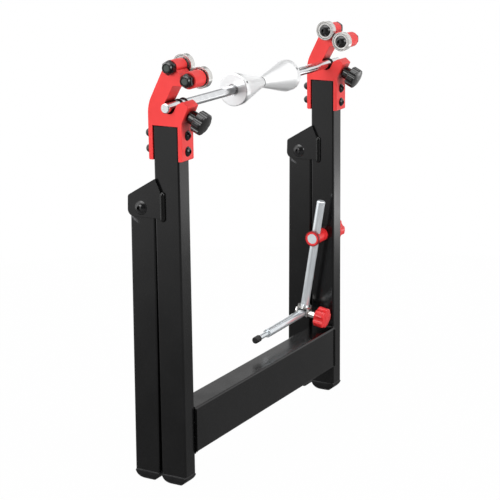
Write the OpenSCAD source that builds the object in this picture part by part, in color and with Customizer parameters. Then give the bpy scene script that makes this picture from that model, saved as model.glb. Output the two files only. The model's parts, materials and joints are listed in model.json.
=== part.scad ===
// Folding motorcycle wheel balancer: two tube posts on a cross-bar, two folding legs, two roller
// heads, a shaft with two centring cones and a rim gauge on the right post.
// X runs along the shaft, -Y is the front with the clamp knobs, +Y the side of the folded legs.

/* [Frame] */
// Width of a post tube, front to back
tube_w = 30; // [29:0.5:31]
// Thickness of a post tube, along the shaft
tube_t = 20; // [19:0.5:20.5]
// Wall of every tube
tube_wall = 2; // [1.5:0.25:2.5]
// Outer corner radius of every tube
tube_r = 2; // [1:0.5:2.5]
// Clear distance between the two posts
span = 325; // [300:5:345]
// Height of the post tubes' top ends above the floor
post_top = 385.3; // [384:0.1:385.5]
// Height of the cross-bar tube
bar_h = 50; // [40:1:55]
// Depth of the cross-bar tube, front to back
bar_d = 30; // [26:1:31]
// Height of the cross-bar's top face above the floor
bar_top = 84; // [70:1:90]
// How far the cross-bar's front face stands proud of the posts
bar_proud = 1.5; // [0:0.5:2]

/* [Feet] */
// Height of a foot cap below the end of its tube
foot_h = 12; // [11:0.5:13]
// Height of the plain rim round a foot cap
foot_rim = 1.4; // [1:0.2:2]
// Radius of a foot's half-round sole
sole_r = 16.4; // [16:0.2:18]

/* [Legs] */
// Height of the leg pivots above the floor
pivot_z = 300; // [296:1:302]
// Distance of the leg pivots behind the posts' front faces
pivot_y = 45.2; // [45:0.1:46]
// Angle between a leg and its post as the legs are stored
leg_rest = 0.6; // [0:0.1:1]
// Angle at which a leg's top comes to rest on its post
leg_open = 58; // [50:1:60]
// Thickness of a hinge bracket plate
plate_t = 3; // [2:0.5:4]

/* [Heads] */
// Thickness of a roller head at its ears, along the shaft
head_t = 22; // [21:0.5:23]
// Thickness of a roller head above the post
head_top_t = 19.8; // [19:0.1:21]
// Thickness of the two ears that grip the post
ear_t = 4.7; // [4:0.1:5.5]
// Height of the ears' lower ends above the floor
ear_z = 351; // [346:0.5:352]
// Width of the slot that stores the shaft
slot_w = 13.1; // [13.1:0.1:13.6]
// Lean of the slot and of the line of the rollers
lean = 30; // [28:0.5:31]
// Radius of the boss that carries the rear roller
rear_lobe_r = 7.4; // [7:0.1:8]
// Radius of the boss that carries the front roller
front_lobe_r = 8.7; // [8.2:0.1:9]
// Distance between the two rollers of a head
roller_gap = 23.7; // [23:0.1:25]

/* [Rollers] */
// Outer diameter of a roller bearing
bearing_d = 22; // [21:0.5:22.5]
// Width of a roller bearing
bearing_w = 7; // [6:0.5:8]
// Diameter of the roller screws
roller_screw_d = 8; // [7.5:0.5:8]

/* [Shaft] */
// Diameter of the balancing shaft
shaft_d = 10; // [9.5:0.1:10]
// Length of the shaft that stands out beyond each post
shaft_out = 8.8; // [5:0.1:12]
// Diameter of a cone at its base
cone_d = 35; // [30:1:38]
// Diameter of a cone at its small end
cone_tip_d = 11.6; // [11.4:0.1:13]
// Length of a cone
cone_len = 60.5; // [50:0.5:64]
// Length of the straight land at a cone's base
cone_land = 8; // [7:0.5:10]

/* [Clamps] */
// Slope of the clamp screws down to the front
clamp_lean = 26; // [25:0.5:27]
// Diameter of a shaft clamp knob
knob_d = 24; // [22:0.5:24.5]
// Length of a shaft clamp knob's fluted part
knob_len = 11; // [10:0.5:12]
// Diameter of a shaft clamp knob's neck
neck_d = 14.4; // [12:0.4:14.8]
// Diameter of the clamp studs
stud_d = 6; // [5:0.5:6]

/* [Gauge] */
// Height of the gauge's clamp bolt above the floor
gauge_z = 199.5; // [190:0.5:220]
// Diameter of the gauge's upright rod
rod_d = 10; // [9:0.25:10]
// Lean of the upright rod to the vertical
rod_lean = 9.6; // [8:0.1:12]
// Length of the upright rod above the clamp bolt
rod_up = 46; // [35:1:60]
// Length of the upright rod below the clamp bolt
rod_down = 90; // [80:1:95]
// Distance of the upright rod from the right post
rod_out = 18; // [17.5:0.5:19]
// Outer diameter of the red clamp sleeve
sleeve_d = 15.5; // [15:0.5:16.5]
// Diameter of the pointer arm's red star knob
star_d = 25; // [22:0.5:26]
// Dip of the pointer arm below the level
arm_dip = 1.5; // [0:0.5:5]
// Length of the pointer arm's thick tube
arm_len = 86; // [70:1:90]

/* [Hidden] */

// Facets of a full circle
$fn = 48;
// Overlap that keeps cutting tools clear of the faces they cut
cut = 1;
// Running clearance of a bore on its pin, in radius
run = 0.05;
// Gap between pieces of different bodies that lie against each other
gap = 0.3;

// The left post's outer face is at x = 0 and both posts' front faces are at y = 0
far_x = tube_t + span;
width = far_x + tube_t;

// Heads: the slot's lower centre, the slot's direction and the rollers' axes
slot_c = [9.7, 405.4];
slot_up = [-sin(lean), cos(lean)];
slot_side = [cos(lean), sin(lean)];
slot_r = slot_w / 2;
cradle = [-3.5, 439.75];
roller_rear = cradle + slot_side * roller_gap / 2;
roller_front = cradle - slot_side * roller_gap / 2;
window_z = post_top + 1;
head_out = (head_t - tube_t) / 2;
head_inner = head_top_t - head_out;
web_z = 427.5;
web_y = -6;
wall_rear = slot_c + slot_r * slot_side;
wall_front = slot_c - slot_r * slot_side;
wall_top = wall_rear + slot_up * (web_z - wall_rear[1]) / slot_up[1];
prong_lip = wall_front + slot_up * 8;
prong_peak = [-6.3, 412.2];
prong_nose = [-12.7, 406.8];
prong_face = 19.5;
recess_z = 394;
bend_c = [-3.3, 398];
bend_r = tube_w + ear_t - bend_c[0];
bend_turn = 26;
bolt_z = [360.3, 376.5];
head_bolt_d = 6;
bolt_head_d = 10.5;
bolt_head_h = 3.3;
head_nut_flats = 10;
head_nut_hex_h = 4.4;
head_nut_dome_d = 9.2;
head_nut_h = 9.6;
head_bolt_end = 6;

// Legs and their brackets
leg_t = tube_t - 2 * gap;
pivot_gap = pivot_y - tube_w - gap;
leg_rear = tube_w - pivot_gap;
bracket_front = 21.5;
bracket_low = 290.7;
bracket_pts = [
    [bracket_front, bracket_low], [61.5, 290.1], [60.7, 312.1], [27.7, 331.7],
    [bracket_front, 318.5]
];
bracket_radii = [0.5, 7, 3.5, 1, 1];
pivot_d = 8;
bush_d = 12;
pivot_head_d = 15;
pivot_head_h = 4;

// Rollers and their screws
washer_d = 13;
washer_t = 1.6;
left_roller_x = head_inner + washer_t;
right_roller_x = far_x - head_out - washer_t - bearing_w;
roller_head_d = 14;
roller_head_h = 4.4;
nut_flats = 13;
nut_hex_h = 5.4;
lock_nut_h = 8.4;
thread_in = 0.5;
inner_ring_d = 12.2;
outer_ring_d = 18.4;
ball_d = 4;
ball_pitch_d = 15;
ball_count = 7;
shield_t = 0.5;
shield_in = 0.4;

// Shaft, its rubber rings and its cones
shaft_x0 = -shaft_out;
shaft_x1 = width + shaft_out;
ring_cord = 1.5;
ring_r = slot_r - run;
ring_x = [17, 26.5, 351];
cone_gap = 0.4;
cone_joint_x = 187;
cone_recess_d = 13;
cone_recess = 2.4;
cone_screw_d = 3;
cone_screw_in = 4.4;
cone_screw_turn = 60;

// Clamps
stud_tip = slot_r + 0.25;
stud_out = 31;
boss_start = 21.8;
knob_start = 29;
knob_edge = 1.8;
knob_dome = 0.9;
clamp_x = tube_t / 2;

// Gauge: the clamp bolt, the upright rod, the fork and the pointer arm
gauge_y = tube_w / 2;
gauge_x = far_x - rod_out;
sleeve_len = 27;
sleeve_flange_d = 18.5;
sleeve_flange_t = 3;
gauge_stud_d = 12;
gauge_bolt_d = 8;
gauge_knob_d = 28;
gauge_knob_len = 15;
gauge_knob_turn = -14;
flange_d = 17;
flange_t = 2.4;
fork_drop = 6.2;
fork_gap = 10.6;
fork_cheek = 2;
fork_w = 11;
arm_pivot = rod_down + fork_drop;
arm_d = 10;
arm_stud_d = 6;
star_near = 18.5;
star_len = 13.5;
pointer_d = 6;
pointer_out = 19.5;
pointer_in = 55;
tip_d = 8;
tip_len = 9.5;

// The rest frame is centred on the bounding box, with the floor at z = 0
knob_rim = knob_start + knob_len - knob_dome - knob_edge;
front_y = slot_c[0] - cos(clamp_lean) * knob_rim
    - (knob_d / 2 - knob_edge) * sin(clamp_lean) - knob_edge;
rear_y = pivot_y - pivot_gap + tube_w + sin(leg_rest) * (pivot_z - 10);
centre_x = (width + gap + gauge_knob_len - head_out - lock_nut_h) / 2;
centre_y = (front_y + rear_y) / 2;

// Colours
red = "#d9252b";
black_paint = "#2b2b2d";
black_plastic = "#1c1c1e";
black_steel = "#202022";
steel = "#c9ccd0";
alloy = "#dedfe0";

function arc(c, r, a0, a1, n) =
    [for (i = [0:n]) let (a = a0 + (a1 - a0) * i / n) c + r * [cos(a), sin(a)]];

function unit(v) = v / norm(v);

// Arc that rounds the corner at p between its neighbours a and b
function corner(a, p, b, r) =
    let (
        u = unit(a - p),
        v = unit(b - p),
        half = acos(u * v) / 2,
        c = p + unit(u + v) * r / sin(half),
        q0 = p + u * r / tan(half) - c,
        q1 = p + v * r / tan(half) - c,
        a0 = atan2(q0[1], q0[0]),
        turn = atan2(q1[1], q1[0]) - a0,
        sweep = turn > 180 ? turn - 360 : turn < -180 ? turn + 360 : turn
    )
    arc(c, r, a0, a0 + sweep, ceil(abs(sweep) / 12));

function rounded(pts, radii) =
    let (n = len(pts))
    [for (i = [0:n - 1]) each corner(pts[(i + n - 1) % n], pts[i], pts[(i + 1) % n], radii[i])];

// Moves the build coordinates to the rest frame
module placed() {
    translate([-centre_x, -centre_y, 0]) children();
}

// Carries a piece of the left post over to the right one, as its mirror image
module on_right() {
    translate([width, 0, 0]) mirror([1, 0, 0]) children();
}

module both_sides() {
    children();
    on_right() children();
}

// Extrudes an outline of the YZ plane along X
module along_x(x, len) {
    translate([x, 0, 0]) rotate([90, 0, 90]) linear_extrude(height = len) children();
}

// A rod along X through a point of the YZ plane
module rod_x(x0, x1, p, r) {
    translate([x0, p[0], p[1]]) rotate([0, 90, 0]) cylinder(r = r, h = x1 - x0);
}

// Turns +Z to +X at a point of the YZ plane
module facing_x(x, p) {
    translate([x, p[0], p[1]]) rotate([0, 90, 0]) children();
}

module rounded_rect(size, r) {
    translate([r, 0]) square([size[0] - 2 * r, size[1]]);
    translate([0, r]) square([size[0], size[1] - 2 * r]);
    for (x = [r, size[0] - r], y = [r, size[1] - r])
        translate([x, y]) circle(r = r, $fn = 32);
}

module tube(size, len) {
    linear_extrude(height = len)
        difference() {
            rounded_rect(size, tube_r);
            translate([tube_wall, tube_wall])
                square([size[0] - 2 * tube_wall, size[1] - 2 * tube_wall]);
        }
}

module hex_prism(flats, h) {
    cylinder(d = flats / cos(30), h = h, $fn = 6);
}

// Round body that takes the corners off both ends of a hexagon
module chamfered_disc(flats, h) {
    corner_r = flats / 2 / cos(30);
    rotate_extrude()
        polygon([[0, 0], [flats / 2 - 0.1, 0], [corner_r + 0.1, 1],
            [corner_r + 0.1, h - 1], [flats / 2 - 0.1, h], [0, h]]);
}

// Screw with its seat at z = 0, the shank below and a hex socket in the domed head above
module button_screw(d, len, head_d, head_h, socket) {
    dome_r = (head_d * head_d / 4 + head_h * head_h) / (2 * head_h);
    difference() {
        union() {
            rotate_extrude()
                polygon([[0, -len], [d / 2 - 0.8, -len], [d / 2, 0.8 - len], [d / 2, 0.5],
                    [0, 0.5]]);
            intersection() {
                translate([0, 0, head_h - dome_r]) sphere(r = dome_r);
                cylinder(d = head_d, h = head_h + cut);
            }
        }
        translate([0, 0, head_h * 0.35]) hex_prism(socket, head_h);
    }
}

// Lock nut with its seat at z = 0: chamfered flats and a round collar that holds the locking ring
module lock_nut(bore_d, flats, hex_h, h) {
    collar_r = flats / 2 - 0.6;
    difference() {
        union() {
            intersection() {
                hex_prism(flats, hex_h);
                chamfered_disc(flats, hex_h);
            }
            rotate_extrude()
                polygon([[0, hex_h - 1], [collar_r, hex_h - 1], [collar_r, hex_h + 1],
                    [collar_r - 0.9, h - 0.4], [collar_r - 1.3, h], [0, h]]);
        }
        translate([0, 0, -cut]) cylinder(d = bore_d, h = h + 2 * cut);
    }
}

// Knob with scalloped sides along +Z, a rounded outer edge and a domed end
module fluted_knob(d, len, count, flute_r, flute_at) {
    edge = knob_edge;
    rim = len - knob_dome;
    difference() {
        rotate_extrude()
            polygon(concat(
                [[0, 0], [d / 2 - 1.2, 0], [d / 2, 1.2]],
                arc([d / 2 - edge, rim - edge], edge, 0, 90, 5),
                [[(d / 2 - edge) * 0.55, len - knob_dome * 0.3], [0, len]]
            ));
        for (i = [0:count - 1])
            rotate([0, 0, (i + 0.5) * 360 / count])
                translate([flute_at, 0, -cut]) cylinder(r = flute_r, h = len + 2 * cut);
    }
}

module post(with_gauge) {
    color(black_paint)
        difference() {
            translate([0, 0, foot_h]) tube([tube_t, tube_w], post_top - foot_h);
            for (z = bolt_z)
                translate([tube_t / 2, -cut, z]) rotate([-90, 0, 0])
                    cylinder(d = head_bolt_d, h = tube_w + 2 * cut);
            if (with_gauge)
                rod_x(-cut, tube_t + cut, [gauge_y, gauge_z], gauge_bolt_d / 2 + run);
        }
}

module post_left() placed() post(false);
module post_right() placed() on_right() post(true);

module cross_bar() {
    color(black_paint) placed()
        translate([tube_t, -bar_proud, bar_top]) rotate([0, 90, 0]) tube([bar_h, bar_d], span);
}

// Bead of weld with round ends along a straight edge that starts at p and turns with a
module bead(p, a, len, r) {
    translate(p) rotate(a) {
        cylinder(r = r, h = len, $fn = 24);
        sphere(r = r, $fn = 24);
        translate([0, 0, len]) sphere(r = r, $fn = 24);
    }
}

module bar_weld() {
    low = bar_top - bar_h;
    r = 1.4;
    difference() {
        union() {
            bead([tube_t, -bar_proud, low + tube_r], [0, 0, 0], bar_h - 2 * tube_r, r);
            for (z = [low, bar_top])
                bead([tube_t, tube_r - bar_proud, z], [-90, 0, 0], bar_d - 2 * tube_r, r);
        }
        translate([tube_t - 10, -bar_proud, low]) cube([20, bar_d, bar_h]);
        translate([tube_t - 10, -20, low - 10]) cube([10, 60, bar_h + 20]);
    }
}

// Thick bead that joins a bracket plate's front edge to the side of the post
module bracket_weld() {
    difference() {
        bead([-0.4, bracket_front - 1.2, bracket_low - 0.7], [0, 0, 0], 25.4, 3);
        translate([0, 0, 250]) cube([tube_t, tube_w, 100]);
        translate([-plate_t, bracket_front, 250]) cube([plate_t + cut, 20, 100]);
    }
}

module weld_beads() {
    color(black_paint) placed() both_sides() {
        bar_weld();
        bracket_weld();
        translate([tube_t, 0, 0]) mirror([1, 0, 0]) bracket_weld();
    }
}

module bracket() {
    color(black_paint)
        for (x = [-plate_t, tube_t])
            difference() {
                along_x(x, plate_t) polygon(rounded(bracket_pts, bracket_radii));
                rod_x(x - cut, x + plate_t + cut, [pivot_y, pivot_z], pivot_d / 2);
            }
}

module bracket_left() placed() bracket();
module bracket_right() placed() on_right() bracket();

// A head's side view: rear ear, arm, two bosses, slot and prong, front ear
module head_outline() {
    rear_side = rear_lobe_r - 0.2;
    front_side = front_lobe_r - 0.2;
    polygon(concat(
        [[tube_w, ear_z], [tube_w + ear_t - 1, ear_z], [tube_w + ear_t, ear_z + 1]],
        arc(bend_c, bend_r, 0, bend_turn, 6),
        [
            roller_rear + rear_side * [cos(bend_turn), sin(bend_turn)],
            roller_rear + rear_side * [cos(200), sin(200)],
            roller_front + front_side * [cos(25), sin(25)],
            roller_front,
            [roller_front[0], web_z],
            [web_y, web_z]
        ],
        corner([web_y, web_z], wall_top, wall_rear, 2),
        [wall_rear, wall_front],
        corner(wall_front, prong_lip, prong_peak, 1.5),
        corner(prong_lip, prong_peak, prong_nose, 2.2),
        corner(prong_peak, prong_nose, [-ear_t, 390.6], 1.2),
        [[-ear_t, 390.6], [-ear_t, ear_z + 1], [1 - ear_t, ear_z], [0, ear_z]],
        [[0, window_z], [tube_w, window_z]]
    ));
    translate(roller_rear) circle(r = rear_lobe_r);
    translate(roller_front) circle(r = front_lobe_r);
}

// Turns +Z to the clamp screw's outward direction, from the slot's centre
module on_clamp_axis(x) {
    translate([x, slot_c[0], slot_c[1]]) rotate([90 + clamp_lean, 0, 0]) children();
}

module head() {
    side = [-head_out - cut, tube_t + head_out + cut];
    color(red)
        difference() {
            along_x(-head_out, head_t) head_outline();
            translate([head_inner, -30, recess_z]) cube([head_t, 90, 90]);
            rod_x(side[0], side[1], slot_c, slot_r + run);
            for (p = [roller_rear, roller_front])
                rod_x(side[0], side[1], p, roller_screw_d / 2);
            for (z = bolt_z)
                translate([tube_t / 2, -ear_t - cut, z]) rotate([-90, 0, 0])
                    cylinder(d = head_bolt_d, h = tube_w + 2 * ear_t + 2 * cut);
            on_clamp_axis(clamp_x) cylinder(r = stud_d / 2 + run, h = prong_face + 4);
        }
}

// Both heads are the same casting, turned the same way
module head_left() placed() head();
module head_right() placed() translate([far_x, 0, 0]) head();

// The front face of the front ear, one screw above the other
module at_head_bolts() {
    both_sides()
        for (z = bolt_z)
            translate([tube_t / 2, -ear_t, z]) rotate([90, 0, 0]) children();
}

module head_bolts() {
    color(black_steel) placed() at_head_bolts()
        button_screw(head_bolt_d, tube_w + 2 * ear_t + head_bolt_end, bolt_head_d, bolt_head_h, 4);
}

// Cap nuts on the rear ears, a hexagon with a dome over the screw's end
module head_nuts() {
    dome_r = head_nut_dome_d / 2;
    color(black_steel) placed() at_head_bolts()
        translate([0, 0, -tube_w - 2 * ear_t]) rotate([180, 0, 0])
            difference() {
                union() {
                    intersection() {
                        hex_prism(head_nut_flats, head_nut_hex_h);
                        chamfered_disc(head_nut_flats, head_nut_hex_h);
                    }
                    rotate_extrude()
                        polygon(concat([[0, 1], [dome_r, 1]],
                            arc([0, head_nut_h - dome_r], dome_r, 0, 90, 8)));
                }
                translate([0, 0, -cut]) cylinder(d = head_bolt_d, h = head_bolt_end + gap + cut);
            }
}

// Plastic cap with a half-round sole, a rim and a plug that fills the tube's end
module foot(t) {
    sole_c = sole_r - 0.25;
    end_r = 7;
    plug = tube_wall + 0.1;
    color(black_plastic) {
        intersection() {
            along_x(0, t) {
                intersection() {
                    translate([tube_w / 2, sole_c]) circle(r = sole_r);
                    square([tube_w, sole_c]);
                }
            }
            translate([0, 0, foot_h - foot_rim]) rotate([-90, 0, 0])
                linear_extrude(height = tube_w) rounded_end(t, foot_h - foot_rim, end_r);
        }
        translate([0, 0, foot_h - foot_rim])
            linear_extrude(height = foot_rim) rounded_rect([t, tube_w], tube_r);
        translate([plug, plug, foot_h - foot_rim])
            cube([t - 2 * plug, tube_w - 2 * plug, foot_rim + 12]);
    }
}

// Rectangle that hangs from y = 0 with its two far corners rounded
module rounded_end(w, h, r) {
    polygon(concat([[w, 0]], arc([w - r, h - r], r, 0, 90, 8), arc([r, h - r], r, 90, 180, 8),
        [[0, 0]]));
}

module post_feet() placed() both_sides() foot(tube_t);

// Side view of a leg about its pivot at the origin, with the foot end at -len
module leg_side(len) {
    stop = 180 - leg_open - 0.2;
    stop_end = pivot_gap * [cos(stop), sin(stop)] + 8 * [sin(stop), -cos(stop)];
    polygon(concat(
        [[leg_rear, -len]],
        [[leg_rear, 10.5], stop_end],
        arc([0, 0], pivot_gap, stop, 180, 8),
        [[-pivot_gap, -len]]
    ));
}

// Leg's own frame: the pivot at the origin, the tube hanging down, leaned as stored
module on_leg() {
    translate([gap, pivot_y, pivot_z]) rotate([leg_rest, 0, 0]) children();
}

module leg() {
    len = pivot_z - foot_h;
    color(black_paint) on_leg()
        difference() {
            intersection() {
                translate([0, -pivot_gap, -len]) tube([leg_t, tube_w], len + 30);
                along_x(-cut, leg_t + 2 * cut) leg_side(len);
            }
            rod_x(-cut, leg_t + cut, [0, 0], bush_d / 2);
        }
}

// The foot's sole is cut level with the floor as the leg is stored
module leg_foot() {
    intersection() {
        on_leg() translate([0, -pivot_gap, -pivot_z]) foot(leg_t);
        translate([-10, 0, 0]) cube([50, 100, 60]);
    }
}

module leg_bush() {
    color(steel) on_leg()
        difference() {
            rod_x(0, leg_t, [0, 0], bush_d / 2);
            rod_x(-cut, leg_t + cut, [0, 0], pivot_d / 2 + run);
        }
}

module leg_left() placed() leg();
module leg_right() placed() on_right() leg();
module leg_foot_left() placed() leg_foot();
module leg_foot_right() placed() on_right() leg_foot();
module leg_bush_left() placed() leg_bush();
module leg_bush_right() placed() on_right() leg_bush();

// Both pivot bolts have their heads towards the left
module pivot_bolts() {
    color(black_steel) placed()
        for (x = [0, far_x])
            facing_x(x - plate_t, [pivot_y, pivot_z]) mirror([0, 0, 1])
                button_screw(pivot_d, tube_t + 2 * plate_t + lock_nut_h + 1, pivot_head_d,
                    pivot_head_h, 5);
}

module pivot_nuts() {
    color(black_steel) placed()
        for (x = [0, far_x])
            facing_x(x + tube_t + plate_t, [pivot_y, pivot_z])
                lock_nut(pivot_d, nut_flats, nut_hex_h, lock_nut_h);
}

// Section of a bearing half, with the ball's groove cut out of it
module race(r0, r1) {
    difference() {
        translate([r0, 0]) square([r1 - r0, bearing_w]);
        translate([ball_pitch_d / 2, bearing_w / 2]) circle(d = ball_d + 0.06, $fn = 36);
    }
}

// Outer ring and its two shields, which turn together
module roller(x, p) {
    color(steel)
        facing_x(x, p)
            rotate_extrude() {
                race(outer_ring_d / 2, bearing_d / 2);
                for (z = [shield_in, bearing_w - shield_in - shield_t])
                    translate([inner_ring_d / 2 + gap, z])
                        square([outer_ring_d / 2 - inner_ring_d / 2, shield_t]);
            }
}

module balls(x, p) {
    color(steel)
        facing_x(x + bearing_w / 2, p)
            for (i = [0:ball_count - 1])
                rotate([0, 0, i * 360 / ball_count])
                    translate([ball_pitch_d / 2, 0, 0]) sphere(d = ball_d, $fn = 24);
}

module roller_left_rear() placed() roller(left_roller_x, roller_rear);
module roller_left_front() placed() roller(left_roller_x, roller_front);
module roller_right_rear() placed() roller(right_roller_x, roller_rear);
module roller_right_front() placed() roller(right_roller_x, roller_front);
module balls_left_rear() placed() balls(left_roller_x, roller_rear);
module balls_left_front() placed() balls(left_roller_x, roller_front);
module balls_right_rear() placed() balls(right_roller_x, roller_rear);
module balls_right_front() placed() balls(right_roller_x, roller_front);

// At the four roller axes, with +Z to the inside on the left and on the right
module at_rollers(left_x, right_x) {
    for (p = [roller_rear, roller_front]) {
        facing_x(left_x, p) children();
        facing_x(right_x, p) mirror([0, 0, 1]) children();
    }
}

module roller_inner_rings() {
    color(steel) placed() at_rollers(left_roller_x, right_roller_x + bearing_w)
        rotate_extrude() race(roller_screw_d / 2, inner_ring_d / 2);
}

module roller_washers() {
    color(steel) placed() at_rollers(head_inner, far_x - head_out)
        difference() {
            cylinder(d = washer_d, h = washer_t);
            translate([0, 0, -cut]) cylinder(d = roller_screw_d, h = washer_t + 2 * cut);
        }
}

module roller_screws() {
    grip = bearing_w + washer_t + head_top_t + lock_nut_h - thread_in;
    color(black_steel) placed() at_rollers(left_roller_x + bearing_w, right_roller_x)
        button_screw(roller_screw_d, grip, roller_head_d, roller_head_h, 5);
}

module roller_nuts() {
    color(black_steel) placed() at_rollers(-head_out, far_x + head_inner)
        mirror([0, 0, 1]) lock_nut(roller_screw_d, nut_flats, nut_hex_h, lock_nut_h);
}

module clamp_stud() {
    color(steel) on_clamp_axis(clamp_x)
        translate([0, 0, stud_tip]) cylinder(d = stud_d, h = stud_out - stud_tip);
}

module clamp_knob() {
    color(black_plastic) on_clamp_axis(clamp_x)
        difference() {
            union() {
                translate([0, 0, boss_start]) cylinder(d = neck_d, h = knob_start - boss_start + 1);
                translate([0, 0, knob_start]) fluted_knob(knob_d, knob_len, 8, 3.2, knob_d / 2 + 1.2);
            }
            cylinder(d = stud_d + 2 * run, h = stud_out + gap);
        }
}

module clamp_stud_left() placed() clamp_stud();
module clamp_stud_right() placed() on_right() clamp_stud();
module clamp_knob_left() placed() clamp_knob();
module clamp_knob_right() placed() on_right() clamp_knob();

module shaft() {
    r = shaft_d / 2;
    color(steel) placed()
        facing_x(shaft_x0, slot_c)
            rotate_extrude()
                polygon([[0, 0], [r - 0.8, 0], [r, 0.8], [r, shaft_x1 - shaft_x0 - 0.8],
                    [r - 0.8, shaft_x1 - shaft_x0], [0, shaft_x1 - shaft_x0]]);
}

// Rubber rings that keep the shaft off the slot's walls and mark its place
module shaft_rings() {
    bore_r = shaft_d / 2 + run / 2;
    color(black_plastic) placed()
        for (x = ring_x)
            facing_x(x - ring_cord / 2, slot_c)
                rotate_extrude()
                    polygon(concat(
                        [[bore_r, 0]],
                        arc([ring_r - ring_cord / 2, ring_cord / 2], ring_cord / 2, -90, 90, 8),
                        [[bore_r, ring_cord]]
                    ));
}

// Left-hand cone, from its base to its small end
module cone() {
    r = cone_d / 2;
    tip_r = cone_tip_d / 2;
    base_x = cone_joint_x - cone_gap / 2 - cone_len;
    color(alloy)
        difference() {
            facing_x(base_x, slot_c)
                rotate_extrude()
                    polygon([[0, 0], [r - 0.6, 0], [r, 0.6], [r, cone_land],
                        [tip_r, cone_len], [0, cone_len]]);
            rod_x(base_x - cut, base_x + cone_recess, slot_c, cone_recess_d / 2);
            rod_x(base_x - cut, base_x + cone_len + cut, slot_c, shaft_d / 2 + run);
            cone_screw_axis(base_x) cylinder(d = cone_screw_d, h = r + cut);
        }
}

module cone_screw_axis(base_x) {
    translate([base_x + cone_screw_in, slot_c[0], slot_c[1]])
        rotate([cone_screw_turn, 0, 0]) children();
}

module cone_screw() {
    base_x = cone_joint_x - cone_gap / 2 - cone_len;
    start = shaft_d / 2 + run;
    color(black_steel) cone_screw_axis(base_x)
        difference() {
            translate([0, 0, start]) cylinder(d = cone_screw_d, h = 8);
            translate([0, 0, start + 5]) hex_prism(2, 8);
        }
}

// Mirrors a left-hand cone to the other side of the joint between the cones
module past_joint() {
    translate([2 * cone_joint_x, 0, 0]) mirror([1, 0, 0]) children();
}

module cone_left() placed() cone();
module cone_right() placed() past_joint() cone();
module cone_screw_left() placed() cone_screw();
module cone_screw_right() placed() past_joint() cone_screw();

gauge_c = [gauge_y, gauge_z];

// Rod's own frame: the clamp bolt's axis at the origin, the rod along Z, leaned as set
module on_rod() {
    translate([gauge_x, gauge_y, gauge_z]) rotate([rod_lean, 0, 0]) children();
}

// Pointer arm's own frame: the fork's screw along Y at the origin, the arm along -X
module on_arm() {
    on_rod() translate([0, 0, -arm_pivot]) rotate([0, -arm_dip, 0]) children();
}

module rod_hole(r) {
    on_rod() translate([0, 0, -20]) cylinder(r = r, h = 40);
}

module gauge_stud() {
    end_x = far_x - sleeve_len;
    color(steel) placed()
        difference() {
            union() {
                rod_x(end_x, far_x - 3, gauge_c, gauge_stud_d / 2);
                rod_x(far_x - 4, width + gauge_knob_len - 3, gauge_c, gauge_bolt_d / 2);
            }
            rod_hole(rod_d / 2 + run);
        }
}

module gauge_sleeve() {
    color(red) placed()
        difference() {
            union() {
                rod_x(far_x - sleeve_len, far_x - gap, gauge_c, sleeve_d / 2);
                rod_x(far_x - sleeve_len, far_x - sleeve_len + sleeve_flange_t, gauge_c,
                    sleeve_flange_d / 2);
            }
            rod_x(far_x - sleeve_len - cut, far_x + cut, gauge_c, gauge_stud_d / 2 + run / 5);
            rod_hole(rod_d / 2 + run);
        }
}

module gauge_knob() {
    color(red) placed()
        facing_x(width + gap, gauge_c) rotate([0, 0, gauge_knob_turn])
            difference() {
                fluted_knob(gauge_knob_d, gauge_knob_len, 5, 6, gauge_knob_d / 2 + 3.4);
                translate([0, 0, -cut]) cylinder(d = gauge_bolt_d + 2 * run, h = gauge_knob_len - 2);
            }
}

module gauge_rod() {
    color(steel) placed() on_rod()
        translate([0, 0, -rod_down])
            rotate_extrude()
                polygon([[0, 0], [rod_d / 2, 0], [rod_d / 2, rod_down + rod_up - 0.8],
                    [rod_d / 2 - 0.8, rod_down + rod_up], [0, rod_down + rod_up]]);
}

// Round flange with two cheeks that hold the pointer arm's end
module gauge_fork() {
    outer = fork_gap / 2 + fork_cheek;
    color(steel) placed() on_rod()
        difference() {
            union() {
                translate([0, 0, -rod_down]) cylinder(d = flange_d, h = flange_t);
                for (side = [-1, 1])
                    translate([0, side * (fork_gap + fork_cheek) / 2, 0])
                        rotate([90, 0, 0]) linear_extrude(height = fork_cheek, center = true) {
                            translate([0, -arm_pivot]) circle(d = fork_w);
                            translate([-fork_w / 2, -arm_pivot])
                                square([fork_w, fork_drop + 0.2]);
                        }
            }
            translate([0, 0, -rod_down]) cylinder(d = rod_d, h = flange_t + cut);
            translate([0, outer + cut, -arm_pivot]) rotate([90, 0, 0])
                cylinder(d = arm_stud_d, h = 2 * outer + 2 * cut);
        }
}

// Points +Z along the fork's screw, towards its knob
module on_arm_screw() {
    on_rod() translate([0, 0, -arm_pivot]) rotate([90, 0, 0]) children();
}

module arm_stud() {
    outer = fork_gap / 2 + fork_cheek;
    color(steel) placed() on_arm_screw() {
        translate([0, 0, -outer - 2]) cylinder(d = arm_stud_d, h = star_near + 9 + outer + 2);
        translate([0, 0, -outer - 2.5]) cylinder(d = 9, h = 2.5);
        translate([0, 0, outer]) cylinder(d = 8.5, h = star_near - gap - outer);
    }
}

module arm_knob() {
    color(red) placed() on_arm_screw()
        translate([0, 0, star_near])
            difference() {
                fluted_knob(star_d, star_len, 5, 6, star_d / 2 + 3.4);
                translate([0, 0, -cut]) cylinder(d = arm_stud_d + 2 * run, h = 9 + gap + cut);
            }
}

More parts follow.
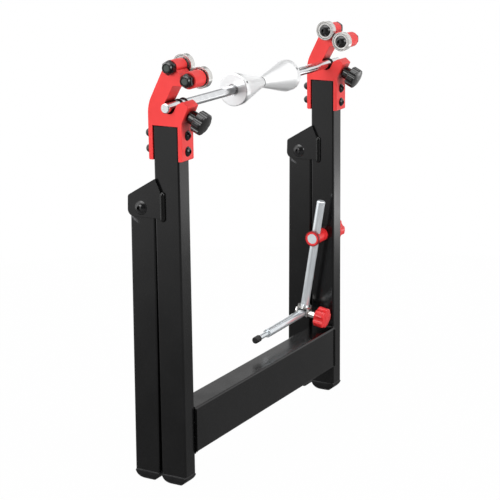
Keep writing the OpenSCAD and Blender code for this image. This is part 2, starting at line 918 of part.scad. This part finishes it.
// Thick tube of the pointer arm; its flattened end turns about the fork's screw
module arm_tube() {
    r = arm_d / 2;
    color(steel) placed() on_arm()
        difference() {
            union() {
                rotate([90, 0, 0]) cylinder(r = r, h = arm_d, center = true);
                translate([-6 - arm_len, 0, 0]) rotate([0, 90, 0]) cylinder(r = r, h = 6 + arm_len);
            }
            rotate([90, 0, 0]) cylinder(d = arm_stud_d + 2 * run, h = arm_d + 2 * cut, center = true);
            translate([-6 - arm_len - cut, 0, 0]) rotate([0, 90, 0])
                cylinder(d = pointer_d + 2 * run, h = pointer_in + pointer_out + 2 + cut);
        }
}

module pointer_rod() {
    start = -6 - arm_len - pointer_out - tip_len + 4;
    color(steel) placed() on_arm()
        translate([start, 0, 0]) rotate([0, 90, 0])
            cylinder(d = pointer_d, h = pointer_out + tip_len - 4 + pointer_in);
}

module pointer_tip() {
    start = -6 - arm_len - pointer_out - tip_len;
    color(black_plastic) placed() on_arm()
        translate([start, 0, 0]) rotate([0, 90, 0])
            difference() {
                rotate_extrude()
                    polygon(concat(
                        [[0, 0]],
                        arc([tip_d / 2 - 1.2, 1.2], 1.2, -90, 0, 4),
                        [[tip_d / 2, tip_len], [0, tip_len]]
                    ));
                translate([0, 0, 4]) cylinder(d = pointer_d, h = tip_len);
            }
}

post_left();
post_right();
cross_bar();
bracket_left();
bracket_right();
weld_beads();
head_left();
head_right();
head_bolts();
head_nuts();
post_feet();
leg_left();
leg_right();
leg_foot_left();
leg_foot_right();
leg_bush_left();
leg_bush_right();
pivot_bolts();
pivot_nuts();
roller_left_rear();
roller_left_front();
roller_right_rear();
roller_right_front();
balls_left_rear();
balls_left_front();
balls_right_rear();
balls_right_front();
roller_inner_rings();
roller_washers();
roller_screws();
roller_nuts();
clamp_stud_left();
clamp_stud_right();
clamp_knob_left();
clamp_knob_right();
shaft();
shaft_rings();
cone_left();
cone_right();
cone_screw_left();
cone_screw_right();
gauge_stud();
gauge_sleeve();
gauge_knob();
gauge_rod();
gauge_fork();
arm_stud();
arm_knob();
arm_tube();
pointer_rod();
pointer_tip();
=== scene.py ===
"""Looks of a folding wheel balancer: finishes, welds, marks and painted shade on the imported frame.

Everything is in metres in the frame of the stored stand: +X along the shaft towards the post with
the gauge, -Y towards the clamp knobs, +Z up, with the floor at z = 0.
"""

import json
import math

import bpy
from mathutils import Matrix, Vector


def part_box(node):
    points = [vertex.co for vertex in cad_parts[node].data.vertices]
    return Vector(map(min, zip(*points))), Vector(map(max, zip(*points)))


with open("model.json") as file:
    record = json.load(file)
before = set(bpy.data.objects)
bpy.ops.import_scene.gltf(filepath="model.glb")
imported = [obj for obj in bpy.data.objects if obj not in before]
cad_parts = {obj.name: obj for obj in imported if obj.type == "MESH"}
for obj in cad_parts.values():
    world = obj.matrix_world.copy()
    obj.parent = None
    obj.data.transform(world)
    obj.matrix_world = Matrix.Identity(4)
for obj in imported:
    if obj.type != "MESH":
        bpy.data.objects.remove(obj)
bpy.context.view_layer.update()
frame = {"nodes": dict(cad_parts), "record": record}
NODES = frame["nodes"]
MM = 0.001
X, Y, Z = range(3)

# The photograph's viewpoint, worked out from the edges of the posts and the cross-bar
IMAGE_PX = 500
FOCAL_PX = 1638.12
SENSOR_MM = 36
CAMERA_AT = Vector((-1550.81, -874.46, 670.22)) * MM
CAMERA_YAW = math.radians(29.646)
CAMERA_PITCH = math.radians(14.312)
CAMERA_ROLL = math.radians(0.675)
CAMERA_REACH = 20
TO_CAMERA = Vector((-math.cos(CAMERA_YAW), -math.sin(CAMERA_YAW), 0))

# How bright mirrors show each side of the studio. Its limits are the cosine of the angle between the
# way that a mirror looks and the way to the camera, where the change starts and where it is complete.
DARK_ROOM = 0.12
DARK_ROOM_LIMITS = (0.45, 0.8)
FAR_WALL = 1.35
FAR_WALL_LIMITS = (-0.8, -0.95)
SIDE_GLOW = 1.2
SIDE_GLOW_LIMITS = (0.1, 0.45)

# The same for a dark patch of the ceiling, measured from the way to it, and for the light overhead,
# measured from straight up
DARK_CEILING = 0.3
DARK_CEILING_AT = Vector((0.60, 0.47, 0.65))
DARK_CEILING_LIMITS = (0.85, 0.93)
LIGHT_PANEL = 2.5
LIGHT_PANEL_LIMITS = (0.80, 0.90)

# How bright mirrors show the floor: round the stand and far off, the distances between which it
# changes, and a round card that shines
FLOOR_ROUND = 0.26
FLOOR_FAR = 0.95
FLOOR_LIMITS = (0.3, 1.8)
CARD_AT = (1.12, -0.48, 0)
CARD_RADIUS = 0.38
CARD_GLOW = 2.6

# The floor for the camera: the share of plain white over its shadow near the stand, and the
# distances between which that becomes all white
FLOOR_WHITE = 0.985
WHITE_LIMITS = (0.35, 0.9)
FLOOR_HALF_WIDTH = 6.0
FLOOR_GREY = 0.82
FLOOR_ROUGHNESS = 0.9

# Plain light from all round
WORLD_GREY = 0.9
WORLD_STRENGTH = 0.5

# Square lamps: name, place, width, power in watts
LAMPS = (
    ("key", (-0.3, -2.4, 1.1), 1.2, 24),
    ("side", (-3.4, 0.9, 1.4), 1.8, 56),
    ("back", (0.9, 1.4, 1.6), 1.2, 10),
)
LAMPS_AIM = Vector((0, 0, 0.25))

# The part of a noise's range that its blotches are spread over, and the part of the corner factor's
# range over which painted shade fades out
NOISE_LIMITS = (0.35, 0.65)
CORNER_LIMITS = (0.25, 0.75)
CORNER_SAMPLES = 8
EDGE_SAMPLES = 6

# Numbered sockets of the node that mixes two colours
MIX_SHARE, MIX_FIRST, MIX_SECOND = 0, 6, 7
MIX_RESULT = 2


def make_camera():
    """A camera that looks along the yaw from +X towards +Y, down by the pitch, with a slight roll."""
    forward = Vector((
        math.cos(CAMERA_PITCH) * math.cos(CAMERA_YAW),
        math.cos(CAMERA_PITCH) * math.sin(CAMERA_YAW),
        -math.sin(CAMERA_PITCH),
    ))
    right = Vector((math.sin(CAMERA_YAW), -math.cos(CAMERA_YAW), 0))
    down = forward.cross(right)
    rolled_right = right * math.cos(CAMERA_ROLL) + down * math.sin(CAMERA_ROLL)
    rolled_down = down * math.cos(CAMERA_ROLL) - right * math.sin(CAMERA_ROLL)
    data = bpy.data.cameras.new("camera")
    data.sensor_width = SENSOR_MM
    data.lens = FOCAL_PX * SENSOR_MM / IMAGE_PX
    data.clip_end = CAMERA_REACH
    camera = bpy.data.objects.new("camera", data)
    axes = Matrix((rolled_right, -rolled_down, -forward)).transposed()
    camera.matrix_world = Matrix.Translation(CAMERA_AT) @ axes.to_4x4()
    bpy.context.scene.collection.objects.link(camera)
    bpy.context.scene.camera = camera


class Tree:
    """Short calls that build the nodes of a shader."""

    def __init__(self, tree):
        self.tree = tree

    def link(self, source, target):
        self.tree.links.new(source, target)

    def add(self, kind, values=(), **settings):
        """A node of that kind, with values set or linked to its inputs by number or name."""
        node = self.tree.nodes.new("ShaderNode" + kind)
        for key, value in settings.items():
            setattr(node, key, value)
        for key, value in dict(values).items():
            if isinstance(value, bpy.types.NodeSocket):
                self.link(value, node.inputs[key])
            else:
                node.inputs[key].default_value = value
        return node

    def calc(self, operation, first, second=0.0):
        return self.add("Math", {0: first, 1: second}, operation=operation).outputs[0]

    def vector(self, operation, first, second=(0, 0, 0), result="Vector"):
        node = self.add("VectorMath", {0: first, 1: second}, operation=operation)
        return node.outputs[result]

    def spread(self, factor, low, high, start=0.0, end=1.0, **settings):
        """Turns a factor between start and end into a value between low and high."""
        values = {0: factor, 1: start, 2: end, 3: low, 4: high}
        return self.add("MapRange", values, **settings).outputs[0]

    def fade(self, factor, limits, low=0.0, high=1.0):
        """A smooth change from low at the first limit to high at the second."""
        start, end = limits
        return self.spread(factor, low, high, start, end, interpolation_type="SMOOTHSTEP")

    def far_share(self, limits, centre=(0, 0, 0)):
        """0 up to the first distance from the centre, rising smoothly to 1 at the second."""
        place = self.add("TexCoord").outputs["Object"]
        return self.fade(self.vector("DISTANCE", place, centre, "Value"), limits)

    def room(self, place):
        """Brightness of the studio as mirrors that look towards a place show it.

        It is white, but dark behind the camera and in a patch of the ceiling, and brighter at the
        far wall, on both sides and overhead.
        """
        way = self.vector("NORMALIZE", place)
        to_camera = self.vector("DOT_PRODUCT", way, TO_CAMERA, "Value")
        to_patch = self.vector("DOT_PRODUCT", way, DARK_CEILING_AT, "Value")
        up = self.add("SeparateXYZ", {0: way}).outputs[Z]
        behind = self.fade(to_camera, DARK_ROOM_LIMITS, 1, DARK_ROOM)
        opposite = self.fade(to_camera, FAR_WALL_LIMITS, 1, FAR_WALL)
        ceiling = self.fade(to_patch, DARK_CEILING_LIMITS, 1, DARK_CEILING)
        sides = self.fade(self.calc("ABSOLUTE", to_camera), SIDE_GLOW_LIMITS, SIDE_GLOW, 0)
        panel = self.spread(up, 0, LIGHT_PANEL, *LIGHT_PANEL_LIMITS)
        level = self.calc("MULTIPLY", self.calc("MULTIPLY", behind, opposite), ceiling)
        return self.calc("ADD", self.calc("ADD", level, sides), panel)

    def floor_glow(self):
        """Brightness of the floor as mirrors show it, darkened far off by the room behind it."""
        place = self.add("TexCoord").outputs["Object"]
        share = self.far_share(FLOOR_LIMITS)
        level = self.spread(share, FLOOR_ROUND, FLOOR_FAR)
        dark = self.calc("MULTIPLY", share, self.calc("SUBTRACT", 1, self.room(place)))
        card = self.spread(self.far_share((0, CARD_RADIUS), CARD_AT), CARD_GLOW, 0)
        return self.calc("ADD", self.calc("MULTIPLY", level, self.calc("SUBTRACT", 1, dark)), card)


class Finish(Tree):
    """A procedural material in real sizes, built round one Principled shader."""

    def __init__(self, name, **sockets):
        self.material = bpy.data.materials.new(name)
        self.material.use_nodes = True
        super().__init__(self.material.node_tree)
        self.shader = self.tree.nodes["Principled BSDF"]
        for key, value in sockets.items():
            self.shader.inputs[key.replace("_", " ")].default_value = value
        self.place = self.add("TexCoord").outputs["Object"]
        self.normal = None

    def drive(self, socket, value):
        """Links a value to an input of the shader."""
        self.link(value, self.shader.inputs[socket])

    def noise(self, size_mm, detail=2.0, stretch=(1, 1, 1)):
        """Noise whose blotches are about size_mm wide, drawn out along an axis by stretch."""
        scale = [1 / share for share in stretch]
        mapping = self.add("Mapping", {"Vector": self.place, "Scale": scale})
        noise = self.add("TexNoise", {
            "Vector": mapping.outputs["Vector"],
            "Scale": 1 / (size_mm * MM),
            "Detail": detail,
        })
        return noise.outputs["Fac"]

    def blotches(self, noise, low, high):
        """Values between low and high, mixed by a noise."""
        return self.spread(self.noise(*noise), low, high, *NOISE_LIMITS)

    def along(self, axis):
        """The coordinate along X, Y or Z."""
        return self.add("SeparateXYZ", {0: self.place}).outputs[axis]

    def off_axis(self, *nodes):
        """Distance from the nearest of the lines along X through the middles of those nodes."""
        nearest = None
        for node in nodes:
            low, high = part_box(node)
            middle = (Vector(low) + Vector(high)) / 2
            across = self.vector("MULTIPLY", self.vector("SUBTRACT", self.place, middle), (0, 1, 1))
            away = self.vector("LENGTH", across, result="Value")
            nearest = self.calc("MINIMUM", nearest, away) if nearest else away
        return nearest

    def band(self, value, at, half_width, soft):
        """1 where a value lies within half_width of at, falling to 0 over the length soft."""
        apart = self.calc("ABSOLUTE", self.calc("SUBTRACT", value, at))
        return self.spread(apart, 1, 0, start=half_width, end=half_width + soft)

    def mixed(self, share, first, second):
        """The first colour where the share is 0 and the second where it is 1."""
        values = {MIX_SHARE: share}
        for socket, colour in ((MIX_FIRST, first), (MIX_SECOND, second)):
            is_link = isinstance(colour, bpy.types.NodeSocket)
            values[socket] = colour if is_link else (*colour, 1)
        return self.add("Mix", values, data_type="RGBA").outputs[MIX_RESULT]

    def tint(self, mask, colour):
        """Turns the base colour to another one where the mask is 1."""
        base = self.shader.inputs["Base Color"]
        self.link(self.mixed(mask, base.links[0].from_socket, colour), base)

    def open_share(self, depth_mm, shade, open_value=1.0):
        """open_value in the open, falling by the share shade in corners up to depth_mm deep."""
        corner = self.add("AmbientOcclusion", {"Distance": depth_mm * MM}, samples=CORNER_SAMPLES)
        shaded = (1 - shade) * open_value
        return self.spread(corner.outputs["AO"], shaded, open_value, *CORNER_LIMITS)

    def shine(self, depth_mm, shade, open_value):
        """Painted shade on reflections: a specular level that falls in corners in the same way."""
        self.drive("Specular IOR Level", self.open_share(depth_mm, shade, open_value))

    def colour_by(self, noise, colours, corners=None):
        """Mixes two colours by a noise, with painted shade that darkens them in corners of a depth in
        mm by a share.
        """
        colour = self.mixed(self.blotches(noise, 0, 1), *colours)
        if corners:
            painted_shade = self.add("VectorMath", {0: colour}, operation="SCALE")
            self.link(self.open_share(*corners), painted_shade.inputs["Scale"])
            colour = painted_shade.outputs[0]
        self.drive("Base Color", colour)

    def soften_edges(self, radius_mm):
        """Rounds the look of sharp edges by that radius."""
        bevel = self.add("Bevel", {"Radius": radius_mm * MM}, samples=EDGE_SAMPLES)
        self.normal = bevel.outputs["Normal"]
        self.drive("Normal", self.normal)

    def bump(self, noise, depth_mm, strength):
        """Adds relief that is depth_mm deep."""
        values = {"Height": self.noise(*noise), "Distance": depth_mm * MM, "Strength": strength}
        if self.normal:
            values["Normal"] = self.normal
        self.normal = self.add("Bump", values).outputs["Normal"]
        self.drive("Normal", self.normal)


def coat(name, colours, spots, rough, relief, edge_mm=0.0, corners=None, **sockets):
    """A finish of two colours with its roughness, relief, softened edges and painted shade in corners.

    spots is the noise that mixes the colours, rough is a noise with the lowest and highest
    roughness, relief is a noise with its depth in mm and strength, and corners is a depth in mm with
    the share by which painted shade darkens the colour in corners. A noise is a size in mm, a detail
    and perhaps a stretch.
    """
    f = Finish(name, **sockets)
    if edge_mm:
        f.soften_edges(edge_mm)
    f.colour_by(spots, colours, corners)
    f.drive("Roughness", f.blotches(*rough))
    f.bump(*relief)
    return f


def black_coat(name):
    f = coat(
        name,
        colours=((0.0045, 0.0045, 0.0047), (0.0065, 0.0065, 0.0067)),
        spots=(45, 3),
        rough=((30, 4), 0.15, 0.22),
        relief=((1.3, 1.0), 0.03, 0.4),
        edge_mm=0.5,
    )
    # Painted shade: reflections weaken up to 30 mm from corners
    f.shine(30, 0.8, 0.41)
    return f


def black_paint():
    return black_coat("black_powder_coat")


def leg_paint():
    """The same coat, with a paler arc of streaks on a leg round its pivot, towards +Y."""
    f = black_coat("black_powder_coat_pale_arc")
    low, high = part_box("pivot_bolts")
    pivot_y = (low[Y] + high[Y]) / 2
    arc = f.band(f.off_axis("pivot_bolts"), at=16.8 * MM, half_width=0.8 * MM, soft=0.9 * MM)
    behind = f.spread(f.along(Y), 0, 0.9, start=pivot_y + 4 * MM, end=pivot_y + 8 * MM)
    streaks = f.spread(f.noise(2.2, 4), 0.2, 1, start=0.40, end=0.56)
    pale_arc = f.calc("MULTIPLY", f.calc("MULTIPLY", arc, behind), streaks)
    f.tint(pale_arc, (0.12, 0.12, 0.125))
    return f


def red_paint():
    # Painted shade in corners and slots up to 12 mm deep: darker colour and weaker reflections
    f = coat(
        "red_powder_coat",
        colours=((0.92, 0.040, 0.039), (0.97, 0.048, 0.046)),
        spots=(18, 3),
        rough=((12, 3), 0.34, 0.44),
        relief=((1.1, 1.0), 0.03, 0.5),
        edge_mm=0.5,
        corners=(12, 0.92),
    )
    f.shine(12, 0.95, 0.4)
    return f


def red_plastic_coat(name):
    return coat(
        name,
        colours=((0.92, 0.028, 0.032), (0.97, 0.038, 0.042)),
        spots=(9, 2),
        rough=((6, 3), 0.22, 0.32),
        relief=((0.5, 1.0), 0.012, 0.6),
        edge_mm=0.5,
        # painted shade in corners up to 5 mm deep
        corners=(5, 0.65),
        Specular_IOR_Level=0.4,
    )


def red_plastic():
    return red_plastic_coat("moulded_red_plastic")


def sleeve_plastic():
    """Red plastic with painted shade: a dark line round the rounded edge of the sleeve's flange."""
    f = red_plastic_coat("moulded_sleeve_plastic")
    painted_edge_shade = f.band(f.off_axis("gauge_stud"), at=9.0 * MM, half_width=0.7 * MM, soft=0.3 * MM)
    f.tint(painted_edge_shade, (0.28, 0.008, 0.012))
    return f


def knob_plastic():
    """Glossy black, with painted shade in the grooves between the flutes: darker colour and weaker
    reflections there.
    """
    f = coat(
        "glossy_black_plastic",
        colours=((0.002, 0.002, 0.002), (0.004, 0.004, 0.004)),
        spots=(7, 3),
        rough=((5, 3), 0.06, 0.12),
        relief=((0.45, 1.0), 0.02, 0.6),
        edge_mm=0.7,
        corners=(4, 0.7),
    )
    f.shine(9, 1.0, 0.55)
    return f


def foot_plastic():
    """Dull black caps with a paler line round them at the height where the tube ends."""
    f = coat(
        "foot_cap_plastic",
        colours=((0.004, 0.004, 0.0042), (0.008, 0.008, 0.0085)),
        spots=(10, 3),
        rough=((8, 3), 0.40, 0.52),
        relief=((0.45, 1.0), 0.02, 0.6),
        edge_mm=2.5,
        Specular_IOR_Level=0.3,
    )
    rim = f.band(f.along(Z), at=10.9 * MM, half_width=0.4 * MM, soft=0.5 * MM)
    f.tint(rim, (0.019, 0.019, 0.020))
    return f


def weld_paint():
    # Painted shade: darker and duller than the black coat, for the shade along the welds
    return coat(
        "painted_weld",
        colours=((0.002, 0.002, 0.002), (0.004, 0.004, 0.004)),
        spots=(6, 3),
        rough=((3, 3), 0.22, 0.32),
        relief=((1.6, 1.0, (3, 3, 0.8)), 0.15, 0.6),
        Specular_IOR_Level=0.35,
    )


def black_oxide(name):
    return coat(
        name,
        colours=((0.005, 0.005, 0.0055), (0.012, 0.012, 0.0125)),
        spots=(4, 3),
        rough=((3, 3), 0.10, 0.18),
        relief=((0.6, 1.0), 0.01, 0.6),
        edge_mm=0.25,
        # painted shade in corners up to 4 mm deep
        corners=(4, 0.8),
        Metallic=0.15,
        Specular_IOR_Level=0.6,
    )


def black_steel():
    return black_oxide("black_oxide_steel")


def screw_steel():
    """Black screws whose cut ends, past the nuts on the outer sides of the heads, are bare."""
    f = black_oxide("screw_steel")
    from_middle = f.calc("ABSOLUTE", f.along(X))
    past_nut = f.spread(from_middle, 0, 1, start=181 * MM, end=182 * MM)
    f.tint(past_nut, (0.055, 0.068, 0.062))
    return f


def lock_nut_steel():
    """Black nuts with the ring of dull plastic that grips the thread."""
    f = black_oxide("lock_nut_steel")
    away = f.off_axis("roller_left_rear", "roller_left_front")
    f.tint(f.band(away, at=4.4 * MM, half_width=0.9 * MM, soft=0.2 * MM), (0.002, 0.002, 0.002))
    return f


def ground_steel(name):
    return coat(
        name,
        colours=((0.62, 0.61, 0.59), (0.72, 0.71, 0.69)),
        spots=(5, 3),
        rough=((4, 3), 0.18, 0.28),
        relief=((1.2, 1.0), 0.004, 0.4),
        edge_mm=0.3,
        # painted shade in corners up to 3 mm deep
        corners=(3, 0.7),
        Metallic=0.85,
    )


def bearing_steel():
    return ground_steel("ground_bearing_steel")


def fork_steel():
    return ground_steel("ground_fork_steel")


def roller_steel():
    """Bearing steel with painted shade: a dark line in the gap between the outer ring and its shield,
    and a darker line along a chamfer's edge.
    """
    f = ground_steel("roller_ring_steel")
    away = f.off_axis("roller_left_rear", "roller_left_front")
    painted_gap_shade = f.band(away, at=9.2 * MM, half_width=0.2 * MM, soft=0.15 * MM)
    f.tint(painted_gap_shade, (0.03, 0.028, 0.025))
    chamfer = f.band(away, at=10.55 * MM, half_width=0.12 * MM, soft=0.2 * MM)
    f.tint(chamfer, (0.2, 0.19, 0.18))
    return f


def chrome():
    return coat(
        "bright_plating",
        colours=((0.72, 0.73, 0.75), (0.80, 0.81, 0.82)),
        spots=(14, 3),
        rough=((7, 4), 0.16, 0.24),
        relief=((0.8, 2.0), 0.004, 0.6),
        edge_mm=0.3,
        Metallic=1.0,
    )


def satin_coat(name, metal_share):
    return coat(
        name,
        colours=((0.78, 0.83, 0.86), (0.86, 0.90, 0.93)),
        spots=(14, 3),
        rough=((7, 4), 0.14, 0.20),
        relief=((3, 2.0), 0.002, 0.3),
        edge_mm=0.3,
        # painted shade in corners up to 3 mm deep
        corners=(4, 0.7),
        Metallic=metal_share,
    )


def satin_steel():
    return satin_coat("satin_plating", 0.55)


def stud_steel():
    """The same plating, paler on the cut end of the gauge's bolt."""
    return satin_coat("stud_plating", 0.2)


def aluminium():
    """Turned cones, satin round the sides and mirror-like on the recessed base of the left one."""
    turned = (1, 400, 400)
    f = coat(
        "turned_aluminium",
        colours=((0.84, 0.85, 0.86), (0.87, 0.87, 0.87)),
        spots=(0.35, 2.0, turned),
        rough=((0.6, 2.0, (1, 60, 60)), 0.28, 0.36),
        relief=((0.4, 1.0, turned), 0.004, 0.3),
        edge_mm=0.3,
        # painted shade in corners up to 3 mm deep
        corners=(3, 0.35),
    )
    base_x, tip_x = (corner[X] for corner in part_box("cone_left"))
    base = f.band(f.along(X), at=base_x, half_width=5 * MM, soft=0.5 * MM)
    f.drive("Metallic", f.spread(base, 0.4, 0.95))
    # Painted shade: a dark ring where the tips of the two cones meet, for the narrow gap between them
    painted_seam_shade = f.band(f.along(X), at=tip_x, half_width=0.7 * MM, soft=0.3 * MM)
    f.tint(painted_seam_shade, (0.10, 0.10, 0.10))
    return f


def rubber():
    return coat(
        "black_rubber",
        colours=((0.009, 0.009, 0.009), (0.015, 0.015, 0.015)),
        spots=(3, 3),
        rough=((2, 3), 0.55, 0.7),
        relief=((0.4, 2.0), 0.02, 0.7),
        Specular_IOR_Level=0.35,
    )


FINISHES = {
    "black_paint": black_paint,
    "red_paint": red_paint,
    "red_plastic": red_plastic,
    "black_plastic": foot_plastic,
    "black_steel": black_steel,
    "bearing_steel": bearing_steel,
    "chrome": chrome,
    "aluminium": aluminium,
    "rubber": rubber,
}


# Nodes that look different from the rest of their slot
SPECIAL = {
    "weld_beads": weld_paint,
    "leg_left": leg_paint,
    "leg_right": leg_paint,
    "roller_left_rear": roller_steel,
    "roller_left_front": roller_steel,
    "roller_right_rear": roller_steel,
    "roller_right_front": roller_steel,
    "roller_screws": screw_steel,
    "roller_nuts": lock_nut_steel,
    "clamp_knob_left": knob_plastic,
    "clamp_knob_right": knob_plastic,
    "gauge_stud": stud_steel,
    "gauge_rod": satin_steel,
    "gauge_fork": fork_steel,
    "arm_stud": fork_steel,
    "gauge_sleeve": sleeve_plastic,
    "arm_tube": satin_steel,
    "pointer_rod": satin_steel,
}


def dress_nodes():
    """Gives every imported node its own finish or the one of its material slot."""
    made = {}
    for entry in frame["record"]["subparts"]:
        make = SPECIAL.get(entry["node"], FINISHES[entry["material_slot"]])
        if make not in made:
            made[make] = make().material
        mesh = NODES[entry["node"]].data
        mesh.materials.clear()
        mesh.materials.append(made[make])


def make_floor():
    """A pale floor: nearly white with a faint shadow for the camera, and its glow for mirrors."""
    signs = ((-1, -1), (1, -1), (1, 1), (-1, 1))
    corners = [(x * FLOOR_HALF_WIDTH, y * FLOOR_HALF_WIDTH, 0) for x, y in signs]
    mesh = bpy.data.meshes.new("floor")
    mesh.from_pydata(corners, [], [range(len(corners))])
    floor = bpy.data.objects.new("floor", mesh)
    bpy.context.scene.collection.objects.link(floor)
    material = bpy.data.materials.new("pale_floor")
    material.use_nodes = True
    tree = Tree(material.node_tree)
    shader = tree.tree.nodes["Principled BSDF"]
    shader.inputs["Base Color"].default_value = (FLOOR_GREY, FLOOR_GREY, FLOOR_GREY, 1)
    shader.inputs["Roughness"].default_value = FLOOR_ROUGHNESS
    shader.inputs["Specular IOR Level"].default_value = 0.0
    path = tree.add("LightPath").outputs
    to_eye = tree.calc("MAXIMUM", FLOOR_WHITE, tree.far_share(WHITE_LIMITS))
    to_eye = tree.calc("MULTIPLY", to_eye, path["Is Camera Ray"])
    white = tree.add("Emission").outputs[0]
    plain = tree.add("MixShader", {0: to_eye, 1: shader.outputs[0], 2: white}).outputs[0]
    mirrored = tree.add("Emission", {"Strength": tree.floor_glow()}).outputs[0]
    mixed = tree.add("MixShader", {0: path["Is Glossy Ray"], 1: plain, 2: mirrored}).outputs[0]
    tree.link(mixed, tree.tree.nodes["Material Output"].inputs[0])
    mesh.materials.append(material)


def make_world():
    """Plain light from all round, white for the camera and the studio for mirrors."""
    world = bpy.data.worlds.new("studio")
    bpy.context.scene.world = world
    world.use_nodes = True
    tree = Tree(world.node_tree)
    back = tree.tree.nodes["Background"]
    back.inputs["Color"].default_value = (WORLD_GREY, WORLD_GREY, WORLD_GREY, 1)
    back.inputs["Strength"].default_value = WORLD_STRENGTH
    path = tree.add("LightPath").outputs
    white = tree.add("Background", {"Color": (1, 1, 1, 1)}).outputs[0]
    plain = tree.add("MixShader", {0: path["Is Camera Ray"], 1: back.outputs[0], 2: white}).outputs[0]
    room = tree.room(tree.add("TexCoord").outputs["Generated"])
    mirrored = tree.add("Background", {"Color": (1, 1, 1, 1), "Strength": room}).outputs[0]
    mixed = tree.add("MixShader", {0: path["Is Glossy Ray"], 1: plain, 2: mirrored}).outputs[0]
    tree.link(mixed, tree.tree.nodes["World Output"].inputs[0])


def make_lamps():
    """Soft square lamps that point at the middle of the stand."""
    for name, place, width, power in LAMPS:
        data = bpy.data.lights.new(name, "AREA")
        data.shape = "RECTANGLE"
        data.size = width
        data.size_y = width
        data.energy = power
        lamp = bpy.data.objects.new(name, data)
        lamp.location = place
        lamp.rotation_euler = (LAMPS_AIM - Vector(place)).to_track_quat("-Z", "Y").to_euler()
        bpy.context.scene.collection.objects.link(lamp)


bpy.context.scene.view_settings.view_transform = "Standard"
make_camera()
make_world()
make_floor()
make_lamps()
dress_nodes()
